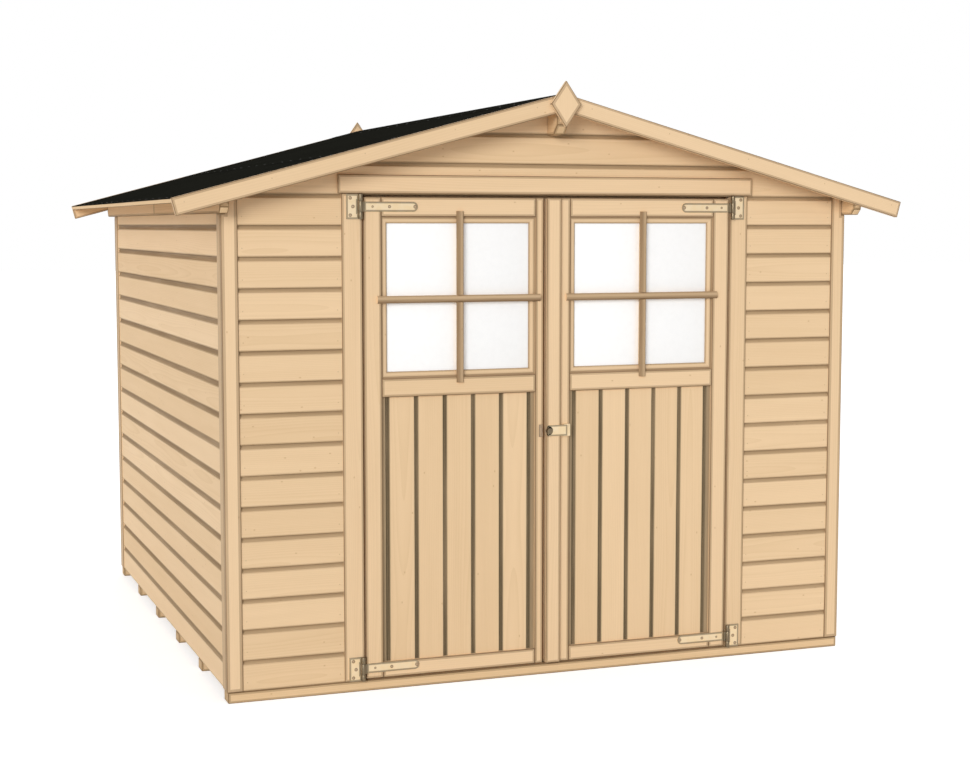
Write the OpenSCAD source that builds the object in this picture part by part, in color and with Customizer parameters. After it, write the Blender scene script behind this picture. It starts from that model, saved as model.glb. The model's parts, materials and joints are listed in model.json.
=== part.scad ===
// Wooden garden shed with a low apex roof and glazed double doors in the gable end.
// Millimetres. Origin on the ground at the centre of the plan, +X to the right of the
// doors, doors facing -Y, +Z up.

/* [Body] */
// Width over the side cladding
body_w = 2522; // [2100:2:3600]
// Depth over the front and back cladding
body_d = 2520; // [1800:2:3600]
// Boards of cladding from the bottom of the walls to the head of the front wall
wall_boards = 16; // [14:1:18]
// Height that one cladding board covers
board_pitch = 112; // [90:1:140]
// Thickness of the cladding
clad_t = 14; // [10:1:20]
// Gap around a piece that passes through another
pass_gap = 1; // [0.5:0.5:3]

/* [Floor] */
// Height of the bearers under the floor
bearer_h = 40; // [35:1:75]
// Width of one bearer
bearer_w = 70; // [45:1:100]
// Number of bearers
bearer_count = 6; // [4:1:8]
// Thickness of the floor boards
floor_t = 18; // [12:1:28]

/* [Framing] */
// Width of a stud, plate or rafter along the wall
stud_w = 44; // [34:1:60]
// Depth of the framing behind the cladding
frame_d = 32; // [28:1:50]
// Spaces between studs in one side wall
side_bays = 4; // [3:1:6]

/* [Corner trims] */
// How far corner boards, door posts and door frames stand beyond the cladding
proud = 4; // [2:0.5:10]
// Width of the corner boards on the front and back
front_trim_w = 60; // [45:1:90]
// Width of the corner boards on the sides, behind those on the front and back
side_trim_w = 58; // [45:1:100]

/* [Roof] */
// Slope of the roof in degrees
pitch = 15; // [12:1:22]
// Eaves beyond the side cladding
eave_over = 196; // [120:1:260]
// Barge boards' outer face beyond the end cladding
gable_over = 112; // [80:1:200]
// Thickness of the roof boards
deck_t = 16; // [12:1:22]
// Thickness of the felt
felt_t = 3; // [2:0.5:5]
// Height of a barge board, square to the slope
barge_h = 64; // [50:1:120]
// Thickness of a barge board
barge_t = 20; // [15:1:28]
// Height of an eaves purlin at its outer face
purlin_h = 78; // [60:1:120]
// Width of an eaves purlin
purlin_w = 33; // [28:1:50]
// Outer face of an eaves purlin beyond the cladding
purlin_out = 24; // [18:1:28]
// Bottom of the eaves purlins below the head of the front wall
purlin_drop = 70; // [60:1:90]
// Height of the ridge purlin
ridge_purlin_h = 128; // [100:1:180]
// Width of the ridge purlin
ridge_purlin_w = 44; // [34:1:70]
// Bevel under the ends of the eaves purlins
eaves_bevel = 22; // [10:1:45]
// Bevel under the ends of the ridge purlin
ridge_bevel = 34; // [10:1:45]

/* [Finials] */
// Width of the diamond at each gable peak
finial_w = 120; // [80:1:180]
// Height of the diamond
finial_h = 172; // [120:1:240]
// Thickness of the diamond
finial_t = 17; // [12:1:25]
// Centre of the diamond below the ridge
finial_drop = 40; // [20:1:60]

/* [Doorway] */
// Width of the doorway between its posts
door_w = 1496; // [1200:2:1600]
// Width of a door post
post_w = 77; // [60:1:100]
// Height of the header board over the doors
header_h = 68; // [50:1:120]
// Thickness of the header board
header_t = 12; // [10:1:30]
// Header board beyond the door posts at each end
header_over = 15; // [0:1:40]
// Gap between the doors and the header board
head_gap = 12; // [6:1:15]
// Thickness of the batten behind the gap over the doors
stop_t = 18; // [12:1:30]
// How far that batten hangs below the tops of the doors
stop_lap = 20; // [8:1:30]
// Top of the doors below the head of the front wall
leaf_drop = 9; // [0:1:12]
// Gap beside and under the doors
door_gap = 5; // [5:0.5:10]
// Gap between the two doors
meet_gap = 9; // [8.5:0.5:12]

/* [Doors] */
// Thickness of the door frames
leaf_t = 40; // [32:1:45]
// Width of a hinge stile
hinge_stile_w = 67; // [55:1:90]
// From the centre of the doorway to the inner edge of a meeting stile
meet_stile = 70; // [62:1:90]
// Width of the strip that covers the join
strip_w = 59; // [40:1:64]
// Thickness of the strip
strip_t = 12; // [8:1:18]
// Height of the top rail
top_rail_h = 71; // [55:1:90]
// Height of the rail under the window
mid_rail_h = 68; // [50:1:90]
// Height of the bottom rail
bottom_rail_h = 58; // [45:1:120]
// Height of the glazed opening between its rails
window_h = 592; // [400:1:720]
// Thickness of the boarded lower panel
panel_t = 14; // [10:1:18]
// Face of the lower panel behind the face of the frame
panel_set = 12; // [8:1:24]

/* [Glazing] */
// Thickness of a pane
pane_t = 4; // [3:0.5:6]
// Width of the beads at the sides and top of a pane
bead_w = 24; // [20:1:40]
// Width of the bead under a pane
sill_bead_w = 25; // [20:1:50]
// Depth of the beads
bead_d = 24; // [16:1:28]
// Face of the beads behind the face of the frame
bead_set = 8; // [4:1:10]
// How far a pane is let into its beads
pane_hold = 8; // [4:1:15]

/* [Hinges] */
// Thickness of the hinge metal
hinge_t = 3; // [2:0.5:4]
// Height of a hinge plate
hinge_h = 90; // [75:1:110]
// Space between the top hinge plates and the header board
plate_gap = 2; // [1:0.5:10]
// Height of a hinge strap
strap_h = 36; // [25:1:36]
// Height of a strap's knuckle beyond the strap
knuckle_over = 3; // [2:1:6]
// Length of a strap from the edge of the door
strap_len = 206; // [120:1:300]
// Radius of a hinge knuckle
knuckle_r = 8; // [7:0.5:9]
// Radius of a hinge pin
pin_r = 4; // [3:0.5:5]
// Running gap of the hinges
hinge_gap = 1; // [0.5:0.1:1.5]
// From the edge of a post to the axis of its hinges
axis_in = 8; // [6:0.5:12]
// From the edge of a post to the outer edge of its hinge plates
plate_reach = 60; // [45:1:70]

/* [Fastener] */
// Height of the fastener above the bottom of the walls
latch_z = 904; // [700:1:1000]
// Height of the fastener's bar
latch_h = 42; // [25:1:50]
// Thickness of the fastener's bar and plates
latch_t = 4; // [3:0.5:6]
// Metal of the fastener inside the edges of the timber it is fixed to
latch_inset = 2; // [1:0.5:4]
// Bar from the left edge of the strip to its knuckle
latch_len = 84; // [74:1:92]
// Height of the keeper's plate and of the bar's foot
keeper_h = 46; // [35:1:60]
// Width of the keeper's plate
keeper_w = 16; // [12:1:28]
// Centre of the bar's knob from the left edge of the strip
knob_in = 8; // [8:1:20]
// Radius of the knob
knob_r = 11; // [7:0.5:11.5]
// Length of the knob
knob_len = 14; // [10:1:20]

/* [Hidden] */
$fn = 48;
// Cuts run past the faces they cut by this much
over = 5;
// The roof boards lie this far above the timber that carries them
bed_gap = 0.3;

half_w = body_w / 2;
half_d = body_d / 2;
wall_z = bearer_h;
head_z = wall_z + wall_boards * board_pitch;
side_top_z = head_z - purlin_drop;
floor_top_z = wall_z + floor_t;
plate_top_z = wall_z + stud_w;

// Faces of the walls, counted outwards from the centre
clad_in_x = half_w - clad_t;
clad_in_y = half_d - clad_t;
frame_in_x = clad_in_x - frame_d;
frame_in_y = clad_in_y - frame_d;
face_x = half_w + proud;
face_y = half_d + proud;
front_clad_x = face_x - front_trim_w;
side_clad_y = clad_in_y - side_trim_w;

// Roof
roof_t = felt_t + deck_t;
half_span = half_w + eave_over;
barge_out_y = half_d + gable_over;
barge_in_y = barge_out_y - barge_t;
purlin_out_x = half_w + purlin_out;
purlin_in_x = purlin_out_x - purlin_w;
ridge_z = side_top_z + purlin_h + tan(pitch) * purlin_out_x + roof_t / cos(pitch);
ridge_purlin_z0 = ridge_z - roof_t / cos(pitch) - ridge_purlin_h;

// Doorway and doors
post_in = door_w / 2;
post_out = post_in + post_w;
leaf_z0 = wall_z + door_gap;
leaf_z1 = head_z - leaf_drop;
header_z0 = leaf_z1 + head_gap;
leaf_edge = post_in - door_gap;
stile_in = leaf_edge - hinge_stile_w;
strip_x = strip_w / 2;
window_z1 = leaf_z1 - top_rail_h;
window_z0 = window_z1 - window_h;
panel_z1 = window_z0 - mid_rail_h;
panel_z0 = leaf_z0 + bottom_rail_h;
bead_mid = bead_set + bead_d / 2;

// Hinges
axis_x = post_in + axis_in;
axis_y = face_y + knuckle_r + hinge_gap;
top_hinge_z = header_z0 - plate_gap - hinge_h / 2;
low_hinge_z = wall_z + hinge_h / 2;
strap_knuckle_h = strap_h + knuckle_over;
bore_r = pin_r + hinge_gap / 3;

// Height of the roof's top surface at a distance x from the ridge
function top_z(x) = ridge_z - tan(pitch) * abs(x);

// Height of the underside of the roof boards
function under_z(x) = top_z(x) - roof_t / cos(pitch);

// Height of the top of the timber that carries the roof boards
function seat_z(x) = under_z(x) - bed_gap;

// Height of the underside of the rafters
function rafter_z(x) = seat_z(x) - stud_w / cos(pitch);

// Box between two corners
module box(low, high) {
    translate(low) cube(high - low);
}

// Drawing in X and Z, carried from y0 to y1
module along_y(y0, y1) {
    translate([0, y1, 0]) rotate([90, 0, 0]) linear_extrude(y1 - y0) children();
}

// Drawing in Y and Z, carried from x0 to x1
module along_x(x0, x1) {
    translate([x0, 0, 0]) rotate([90, 0, 90]) linear_extrude(x1 - x0) children();
}

module flip_x() {
    mirror([1, 0, 0]) children();
}

module flip_y() {
    mirror([0, 1, 0]) children();
}

module both_sides() {
    children();
    flip_x() children();
}

module both_ends() {
    children();
    flip_y() children();
}

// ---- Floor ----

module bearers() {
    first_y = -face_y + bearer_w / 2;
    last_y = half_d - bearer_w / 2;
    step_y = (last_y - first_y) / (bearer_count - 1);
    color("burlywood")
    for (i = [0 : bearer_count - 1]) {
        y = first_y + i * step_y;
        box([-half_w, y - bearer_w / 2, 0], [half_w, y + bearer_w / 2, bearer_h]);
    }
}

module floor_deck() {
    color("wheat")
    box([-frame_in_x, -frame_in_y, wall_z], [frame_in_x, frame_in_y, floor_top_z]);
}

// ---- Walls ----

// Space taken by the eaves purlin and the ridge purlin where they cross an end wall
module purlin_notches() {
    both_sides()
    box([purlin_in_x - pass_gap, -face_y - over, side_top_z],
        [purlin_out_x + over, -clad_in_y + over, ridge_z]);
    box([-ridge_purlin_w / 2 - pass_gap, -face_y - over, ridge_purlin_z0],
        [ridge_purlin_w / 2 + pass_gap, -clad_in_y + over, ridge_z]);
}

// Cladding of an end wall from its bottom to the head, between x0 and x1
module end_cladding(x0, x1) {
    color("burlywood")
    difference() {
        box([x0, -half_d, wall_z], [x1, -clad_in_y, head_z]);
        purlin_notches();
    }
}

// Cladding of a gable over the head, stepped up to step_z within step_x of the centre
module gable_cladding(step_x, step_z) {
    color("burlywood")
    difference() {
        along_y(-half_d, -clad_in_y)
        polygon([
            [-front_clad_x, head_z], [-step_x, head_z], [-step_x, step_z],
            [step_x, step_z], [step_x, head_z], [front_clad_x, head_z],
            [front_clad_x, seat_z(front_clad_x)], [0, seat_z(0)],
            [-front_clad_x, seat_z(front_clad_x)]
        ]);
        purlin_notches();
    }
}

module front_wall_left() {
    end_cladding(-front_clad_x, -post_out);
}

module front_wall_right() {
    end_cladding(post_out, front_clad_x);
}

module front_gable() {
    gable_cladding(post_out, header_z0);
}

module back_wall() {
    flip_y() end_cladding(-front_clad_x, front_clad_x);
}

module back_gable() {
    flip_y() gable_cladding(post_out, head_z);
}

module right_wall() {
    color("burlywood")
    box([clad_in_x, -side_clad_y, wall_z], [half_w, side_clad_y, side_top_z]);
}

module left_wall() {
    flip_x() right_wall();
}

// ---- Framing ----

// Upright in the front framing from z0 up to the rafters
module end_stud(x0, x1, z0) {
    along_y(-clad_in_y, -frame_in_y)
    polygon([
        [x0, z0], [x1, z0],
        [x1, rafter_z(x1) - bed_gap], [x0, rafter_z(x0) - bed_gap]
    ]);
}

// Upright in the front framing from z0 up to the ridge purlin
module king_post(z0) {
    box([-stud_w / 2, -clad_in_y, z0], [stud_w / 2, -frame_in_y, ridge_purlin_z0 - bed_gap]);
}

module end_wall_studs() {
    corner_in = clad_in_x - stud_w;
    color("burlywood") {
        both_ends() both_sides() end_stud(corner_in, clad_in_x, plate_top_z);
        flip_y() both_sides() end_stud((corner_in - stud_w) / 2, (corner_in + stud_w) / 2, plate_top_z);
        king_post(header_z0 + stud_w);
        flip_y() king_post(plate_top_z);
    }
}

// Bottom plates, the rail over the doorway and the batten behind its gap, held by the posts
module end_wall_plates() {
    color("burlywood") {
        both_sides() box([post_out, -clad_in_y, wall_z], [clad_in_x, -frame_in_y, plate_top_z]);
        box([-post_out, -clad_in_y, header_z0], [post_out, -frame_in_y, header_z0 + stud_w]);
        box([-post_out, -frame_in_y, leaf_z1 - stop_lap],
            [post_out, -frame_in_y + stop_t, header_z0 - pass_gap]);
        box([-clad_in_x, frame_in_y, wall_z], [clad_in_x, clad_in_y, plate_top_z]);
    }
}

module side_wall_studs() {
    first_y = -frame_in_y;
    step_y = (2 * frame_in_y - stud_w) / side_bays;
    color("burlywood")
    both_sides()
    for (i = [0 : side_bays])
        box([frame_in_x, first_y + i * step_y, plate_top_z],
            [clad_in_x, first_y + i * step_y + stud_w, side_top_z - stud_w]);
}

module side_wall_plates() {
    color("burlywood")
    both_sides() {
        box([frame_in_x, -frame_in_y, wall_z], [clad_in_x, frame_in_y, plate_top_z]);
        box([frame_in_x, -frame_in_y, side_top_z - stud_w], [clad_in_x, frame_in_y, side_top_z]);
    }
}

module gable_rafters() {
    x0 = ridge_purlin_w / 2;
    color("burlywood")
    both_ends() both_sides()
    along_y(-clad_in_y, -frame_in_y)
    polygon([
        [x0, rafter_z(x0)], [clad_in_x, rafter_z(clad_in_x)],
        [clad_in_x, seat_z(clad_in_x)], [x0, seat_z(x0)]
    ]);
}

// ---- Trims and doorway ----

module front_corner_trims() {
    color("wheat")
    both_sides()
    difference() {
        along_y(-face_y, -clad_in_y)
        polygon([
            [front_clad_x, wall_z], [face_x, wall_z],
            [face_x, seat_z(face_x)], [front_clad_x, seat_z(front_clad_x)]
        ]);
        purlin_notches();
    }
}

module back_corner_trims() {
    flip_y() front_corner_trims();
}

module side_corner_trims() {
    color("wheat")
    both_ends() both_sides()
    box([clad_in_x, -clad_in_y, wall_z], [face_x, -side_clad_y, side_top_z]);
}

module right_door_post() {
    color("wheat")
    box([post_in, -face_y, wall_z], [post_out, -frame_in_y, header_z0]);
}

module left_door_post() {
    flip_x() right_door_post();
}

module header_board() {
    header_x = post_out + header_over;
    color("wheat")
    box([-header_x, -half_d - header_t, header_z0], [header_x, -half_d, header_z0 + header_h]);
}

// ---- Roof ----

// Side view of a purlin, with its lower corners bevelled, as high as the roof
module purlin_side(z0, bevel) {
    polygon([
        [-barge_in_y + bevel, z0], [barge_in_y - bevel, z0],
        [barge_in_y, z0 + bevel], [barge_in_y, ridge_z],
        [-barge_in_y, ridge_z], [-barge_in_y, z0 + bevel]
    ]);
}

module eaves_purlins() {
    color("burlywood")
    both_sides()
    intersection() {
        along_y(-barge_in_y, barge_in_y)
        polygon([
            [purlin_in_x, side_top_z], [purlin_out_x, side_top_z],
            [purlin_out_x, seat_z(purlin_out_x)], [purlin_in_x, seat_z(purlin_in_x)]
        ]);
        along_x(purlin_in_x - over, purlin_out_x + over) purlin_side(side_top_z, eaves_bevel);
    }
}

module ridge_purlin() {
    x = ridge_purlin_w / 2;
    color("burlywood")
    intersection() {
        along_y(-barge_in_y, barge_in_y)
        polygon([
            [-x, ridge_purlin_z0], [x, ridge_purlin_z0],
            [x, seat_z(x)], [0, seat_z(0)], [-x, seat_z(x)]
        ]);
        along_x(-x - over, x + over) purlin_side(ridge_purlin_z0, ridge_bevel);
    }
}

// Section of the right-hand slope between two depths below its top surface
module slope(d0, d1) {
    eave_z = top_z(half_span);
    polygon([
        [0, ridge_z - d0 / cos(pitch)],
        [half_span - d0 * sin(pitch), eave_z - d0 * cos(pitch)],
        [half_span - d1 * sin(pitch), eave_z - d1 * cos(pitch)],
        [0, ridge_z - d1 / cos(pitch)]
    ]);
}

module right_roof_deck() {
    color("tan") along_y(-barge_in_y, barge_in_y) slope(felt_t, roof_t);
}

module left_roof_deck() {
    flip_x() right_roof_deck();
}

module right_roof_felt() {
    color("dimgray") along_y(-barge_in_y, barge_in_y) slope(0, felt_t);
}

module left_roof_felt() {
    flip_x() right_roof_felt();
}

module right_barge_boards() {
    color("wheat") both_ends() along_y(-barge_out_y, -barge_in_y) slope(0, barge_h);
}

module left_barge_boards() {
    flip_x() right_barge_boards();
}

module finials() {
    mid_z = ridge_z - finial_drop;
    color("wheat")
    both_ends()
    along_y(-barge_out_y - finial_t, -barge_out_y)
    polygon([
        [0, mid_z + finial_h / 2], [finial_w / 2, mid_z],
        [0, mid_z - finial_h / 2], [-finial_w / 2, mid_z]
    ]);
}

// ---- Hinges ----

// Fixed half of a right-hand hinge: plate, outer knuckles and pin
module hinge_plate(mid_z) {
    z0 = mid_z - hinge_h / 2;
    z1 = mid_z + hinge_h / 2;
    free_h = strap_knuckle_h + 2 * hinge_gap;
    clear_x = axis_x + knuckle_r + hinge_gap;
    difference() {
        union() {
            box([axis_x, -face_y - hinge_t, z0], [post_in + plate_reach, -face_y, z1]);
            translate([axis_x, -axis_y, z0]) cylinder(r = knuckle_r, h = hinge_h);
        }
        box([axis_x - knuckle_r - over, -axis_y - knuckle_r - over, mid_z - free_h / 2],
            [clear_x, -face_y + over, mid_z + free_h / 2]);
    }
    translate([axis_x, -axis_y, z0]) cylinder(r = pin_r, h = hinge_h);
}

module hinge_plates() {
    color("goldenrod")
    both_sides()
    for (z = [low_hinge_z, top_hinge_z])
        hinge_plate(z);
}

// Moving half of a right-hand hinge: strap and middle knuckle, bored for the pin
module hinge_strap(mid_z) {
    tip_x = leaf_edge - strap_len;
    tip_r = strap_h / 2;
    difference() {
        union() {
            box([tip_x + tip_r, -face_y - hinge_t, mid_z - tip_r],
                [leaf_edge, -face_y, mid_z + tip_r]);
            translate([tip_x + tip_r, -face_y, mid_z]) rotate([90, 0, 0])
                cylinder(r = tip_r, h = hinge_t);
            box([leaf_edge - hinge_t, -axis_y + hinge_gap, mid_z - tip_r],
                [axis_x, -face_y - hinge_gap - hinge_t / 2, mid_z + tip_r]);
            translate([axis_x, -axis_y, mid_z - strap_knuckle_h / 2])
                cylinder(r = knuckle_r, h = strap_knuckle_h);
        }
        translate([axis_x, -axis_y, mid_z - hinge_h / 2])
            cylinder(r = bore_r, h = hinge_h);
    }
}

module right_door_straps() {
    color("goldenrod")
    for (z = [low_hinge_z, top_hinge_z])
        hinge_strap(z);
}

module left_door_straps() {
    flip_x() right_door_straps();
}

// ---- Doors ----

// Piece of a door frame, as thick as the door
module frame_piece(x0, x1, z0, z1) {
    box([x0, -face_y, z0], [x1, -face_y + leaf_t, z1]);
}

module right_door_stiles() {
    color("wheat") {
        frame_piece(stile_in, leaf_edge, leaf_z0, leaf_z1);
        frame_piece(-strip_x, meet_stile, leaf_z0, leaf_z1);
    }
}

module left_door_stiles() {
    color("wheat") {
        frame_piece(-leaf_edge, -stile_in, leaf_z0, leaf_z1);
        frame_piece(-meet_stile, -strip_x - meet_gap, leaf_z0, leaf_z1);
    }
}

module right_door_rails() {
    color("wheat") {
        frame_piece(meet_stile, stile_in, leaf_z0, panel_z0);
        frame_piece(meet_stile, stile_in, panel_z1, window_z0);
        frame_piece(meet_stile, stile_in, window_z1, leaf_z1);
    }
}

module left_door_rails() {
    flip_x() right_door_rails();
}

module right_door_panel() {
    panel_y = -face_y + panel_set;
    color("burlywood")
    box([meet_stile, panel_y, panel_z0], [stile_in, panel_y + panel_t, panel_z1]);
}

module left_door_panel() {
    flip_x() right_door_panel();
}

// Pane of the right-hand door, as let into its beads
module pane_box() {
    pane_y = -face_y + bead_mid - pane_t / 2;
    box([meet_stile + bead_w - pane_hold, pane_y, window_z0 + sill_bead_w - pane_hold],
        [stile_in - bead_w + pane_hold, pane_y + pane_t, window_z1 - bead_w + pane_hold]);
}

module right_door_pane() {
    color("white") pane_box();
}

module left_door_pane() {
    flip_x() right_door_pane();
}

module right_door_beads() {
    bead_y = -face_y + bead_set;
    color("wheat")
    difference() {
        box([meet_stile, bead_y, window_z0], [stile_in, bead_y + bead_d, window_z1]);
        box([meet_stile + bead_w, bead_y - over, window_z0 + sill_bead_w],
            [stile_in - bead_w, bead_y + bead_d + over, window_z1 - bead_w]);
        pane_box();
    }
}

module left_door_beads() {
    flip_x() right_door_beads();
}

module meeting_strip() {
    color("wheat")
    box([-strip_x, -face_y - strip_t, leaf_z0], [strip_x, -face_y, leaf_z1]);
}

// ---- Fastener ----

// Bar lying on the strip, its knob, and the knuckle and foot that hold it to the stile
module latch_bar() {
    mid_z = wall_z + latch_z;
    bar_y = -face_y - strip_t;
    knuckle_x = latch_len - strip_x;
    foot_w = 2 * (meet_stile - knuckle_x - latch_inset);
    color("goldenrod") {
        box([-strip_x + latch_inset, bar_y - latch_t, mid_z - latch_h / 2],
            [knuckle_x, bar_y, mid_z + latch_h / 2]);
        translate([-strip_x + knob_in, bar_y, mid_z]) rotate([90, 0, 0])
            cylinder(r = knob_r, h = latch_t + knob_len);
        translate([knuckle_x, bar_y, mid_z - keeper_h / 2])
            cylinder(r = latch_t, h = keeper_h);
        box([knuckle_x - foot_w / 2, bar_y, mid_z - keeper_h / 2],
            [knuckle_x + foot_w / 2, -face_y, mid_z + keeper_h / 2]);
    }
}

// Plate on the left-hand meeting stile
module latch_keeper() {
    mid_z = wall_z + latch_z;
    right_x = -strip_x - meet_gap - latch_inset;
    color("goldenrod")
    box([right_x - keeper_w, -face_y - latch_t, mid_z - keeper_h / 2],
        [right_x, -face_y, mid_z + keeper_h / 2]);
}

bearers();
floor_deck();
front_wall_left();
front_wall_right();
front_gable();
back_wall();
back_gable();
left_wall();
right_wall();
end_wall_studs();
end_wall_plates();
side_wall_studs();
side_wall_plates();
gable_rafters();
front_corner_trims();
back_corner_trims();
side_corner_trims();
left_door_post();
right_door_post();
header_board();
eaves_purlins();
ridge_purlin();
left_roof_deck();
right_roof_deck();
left_roof_felt();
right_roof_felt();
left_barge_boards();
right_barge_boards();
finials();
hinge_plates();
left_door_stiles();
left_door_rails();
left_door_panel();
left_door_pane();
left_door_beads();
left_door_straps();
latch_keeper();
right_door_stiles();
right_door_rails();
right_door_panel();
right_door_pane();
right_door_beads();
right_door_straps();
meeting_strip();
latch_bar();
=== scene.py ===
"""Looks of a wooden garden shed: cladding, framing, glazed double doors, felt roof and hinges.

Metres, in the CAD model's own frame: +X to the right of the doors, doors facing -Y, +Z up.
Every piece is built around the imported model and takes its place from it.
"""

import json
import math
import random

import bmesh
import bpy
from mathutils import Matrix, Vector


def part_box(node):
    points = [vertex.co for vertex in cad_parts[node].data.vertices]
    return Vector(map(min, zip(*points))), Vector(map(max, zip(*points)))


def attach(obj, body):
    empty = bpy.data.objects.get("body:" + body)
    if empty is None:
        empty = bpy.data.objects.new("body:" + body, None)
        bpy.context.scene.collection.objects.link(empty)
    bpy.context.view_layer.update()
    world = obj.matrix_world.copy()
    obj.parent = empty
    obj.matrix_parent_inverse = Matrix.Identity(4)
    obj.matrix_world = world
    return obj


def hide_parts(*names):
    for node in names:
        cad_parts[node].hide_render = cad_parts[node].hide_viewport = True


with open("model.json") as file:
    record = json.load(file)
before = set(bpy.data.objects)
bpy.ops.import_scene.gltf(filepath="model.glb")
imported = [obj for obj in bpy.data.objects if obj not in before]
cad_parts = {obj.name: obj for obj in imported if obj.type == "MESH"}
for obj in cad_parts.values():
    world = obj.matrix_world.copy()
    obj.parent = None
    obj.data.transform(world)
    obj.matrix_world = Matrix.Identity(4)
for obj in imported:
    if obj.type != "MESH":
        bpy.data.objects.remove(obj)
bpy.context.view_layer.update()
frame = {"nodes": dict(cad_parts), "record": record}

MM = 0.001

AXIS_X = Vector((1, 0, 0))
AXIS_Y = Vector((0, 1, 0))
AXIS_Z = Vector((0, 0, 1))

# ---------------------------------------------------------------- sizes equal to the CAD source's

WALL_BOARDS = 16
ROOF_SLOPE = math.radians(15)
FELT_T = 3 * MM
DECK_T = 16 * MM
HINGE_T = 3 * MM
LATCH_BAR_T = 4 * MM
BEAD_W = 24 * MM

# ---------------------------------------------------------------- sizes taken from the frame

LEFT_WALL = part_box("left_wall")
RIGHT_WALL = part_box("right_wall")
FRONT_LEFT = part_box("front_wall_left")
FRONT_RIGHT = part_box("front_wall_right")
BACK_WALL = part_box("back_wall")
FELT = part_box("right_roof_felt")
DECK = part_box("right_roof_deck")
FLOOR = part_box("floor_deck")

WALL_Z = BACK_WALL[0].z
PITCH = (BACK_WALL[1].z - WALL_Z) / WALL_BOARDS
CLAD_T = BACK_WALL[1].y - BACK_WALL[0].y
DOOR_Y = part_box("right_door_stiles")[0].y
LATCH_BAR_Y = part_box("meeting_strip")[0].y - LATCH_BAR_T
HINGE_X = abs(frame["record"]["behaviour"]["joints"][0]["pos_m"][0])
RIDGE_Z = FELT[1].z
RIDGE = Vector((0, 0, RIDGE_Z))
SLOPE_LENGTH = FELT[1].x / math.cos(ROOF_SLOPE)

# ---------------------------------------------------------------- sizes that only the looks need

# Rounding of edges, and the width of the band of painted shade beside it
ARRIS = 3.0 * MM
FINE_ARRIS = 1.2 * MM
METAL_ARRIS = 1.0 * MM
BAND = 6.0 * MM
CORNER_BAND = 9.0 * MM
FINIAL_BAND = 8.0 * MM
METAL_BAND = 6.0 * MM
SHARP = math.radians(25)
FLAT = math.radians(0.5)

# Shiplap and boards; the gaps keep neighbouring boards from touching
COVE_H = 14 * MM
SIDE_COVE_H = 18 * MM
GABLE_LIFT = 4 * MM
TONGUE_H = 6 * MM
LIP = 2.0 * MM
GAP = 0.2 * MM
TOP_GAP = 0.5 * MM
BOARD_GAP = 0.15 * MM
ROOF_GAP = 0.3 * MM
FLOOR_BOARD_W = 119 * MM
FLOOR_V = 2 * MM
DECK_V = 2.5 * MM
GROOVE_W = 16 * MM
GROOVE_D = 5 * MM
GROOVE_FADE = 2.5 * MM

# Felt: two courses that overlap, their thickness and the strip over the ridge
FELT_LAP = 0.62 * SLOPE_LENGTH
FELT_OVERLAP = 75 * MM
LOW_FELT_T = 1.5 * MM
TOP_FELT = 2.8 * MM
CAP_W = 150 * MM
CAP_T = 0.8 * MM
CAP_LIFT = 0.3 * MM
FELT_STEP_DOWN = 60 * MM
FELT_STEP_ALONG = 50 * MM

# Tones of painted shade: 0 is the wood's own colour, 1 the full outline colour
EDGE_TONE = 1.0
BAND_TONE = 0.50
METAL_BAND_TONE = 0.72
COVE_SHADES = (0.34, 0.46, 0.58, 0.68, 0.76)
SIDE_COVE_SHADES = (0.62, 0.76, 0.88, 0.92, 0.92)
SHADED = 0.45
REBATE_SHADED = 0.68
CORNER_SHADED = 0.78
METAL_TONE = 0.9

# Screws: each plate screw's inset and height, each strap screw's distance from the tip and radius
PLATE_SCREWS = ((15 * MM, 31 * MM), (25 * MM, 0.0), (15 * MM, -31 * MM))
PLATE_SCREW_R = 6.5 * MM
STRAP_SCREWS = ((10 * MM, 7.0 * MM), (108 * MM, 6.0 * MM), (172 * MM, 4.5 * MM))
KEEPER_SCREW_INSET = 9 * MM
KEEPER_SCREW_R = 3.5 * MM
KNUCKLE_REACH = 17 * MM

# Nails; the height is a share of a board's cover, the barge nails' places are down the slope
NAIL_R = 2.2 * MM
NAIL_HEIGHT = 0.28
SIDE_NAIL_INSET = 15 * MM
END_NAIL_INSET = 16 * MM
BARGE_NAIL_R = 2.4 * MM
BARGE_NAIL_DROP = 24 * MM
BARGE_NAILS = (0.12, 0.45, 0.80, 1.15, SLOPE_LENGTH - 0.04)
FELT_NAIL_R = 4.5 * MM
FELT_NAIL_INSET = 25 * MM
EDGE_NAIL_INSET = 20 * MM
CAP_NAIL_LIFT = 1.3 * MM
EAVES_NAILS = 18
VERGE_NAILS = 8

# Glazing bars: a flat core to the pane, and a rounded face that laps over the door's frame
BAR_W = 27 * MM
BAR_PROUD = 11 * MM
BAR_CORE_W = 16 * MM
TRANSOM_DROP = 6 * MM
BAR_LAP = 21 * MM
TRANSOM_LAP = 17 * MM

rng = random.Random(41)


# ---------------------------------------------------------------- materials

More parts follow.
